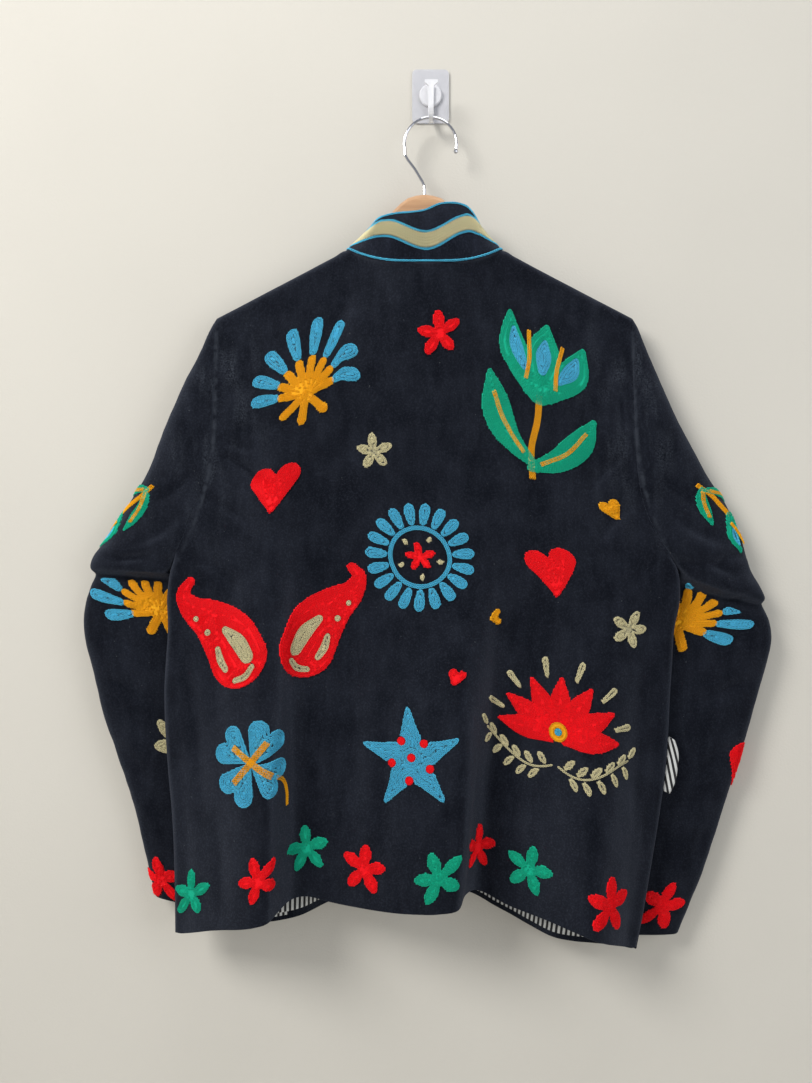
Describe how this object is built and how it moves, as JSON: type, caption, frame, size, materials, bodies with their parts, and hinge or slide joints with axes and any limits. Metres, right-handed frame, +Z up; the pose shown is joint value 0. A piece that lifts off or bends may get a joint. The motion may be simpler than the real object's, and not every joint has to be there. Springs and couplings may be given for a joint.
{
  "type": "embroidered velvet jacket on a hanger and wall hook",
  "caption": "Dark velvet jacket with a stand collar and thick thread embroidery, hung open on a flat wooden hanger from a clear stick-on wall hook, its back to the room.",
  "frame": {"origin": "middle of the wall plate's back face, on the wall", "axes": "+Z up, +Y into the wall, +X to the viewer's right; the jacket hangs on the -Y side with its back to the viewer"},
  "size_m": [0.744, 0.0997, 0.949],
  "materials": {
    "velvet": "cotton velvet, near-black navy, with its nap",
    "collar_velvet": "the same velvet over a stand, with a couched cord at its seam",
    "striped_cotton": "plain woven cotton with narrow black stripes",
    "embroidery_thread": "chain stitched cotton thread in red, blue, green, gold and cream",
    "hanger_wood": "pale varnished wood",
    "hook_wire": "bright chromed wire",
    "clear_plate": "clear moulded plastic"
  },
  "bodies": {
    "root": {"back": "velvet", "front_left": "velvet", "front_right": "velvet", "sleeve_left": "velvet", "sleeve_right": "velvet", "collar": "collar_velvet", "lining_front_left": "striped_cotton", "lining_front_right": "striped_cotton", "pocket_lining": "striped_cotton", "hanger_body": "hanger_wood", "hanger_hook": "hook_wire", "wall_plate": "clear_plate", "wall_disc": "clear_plate", "wall_hook": "clear_plate"}
  },
  "joints": []
}
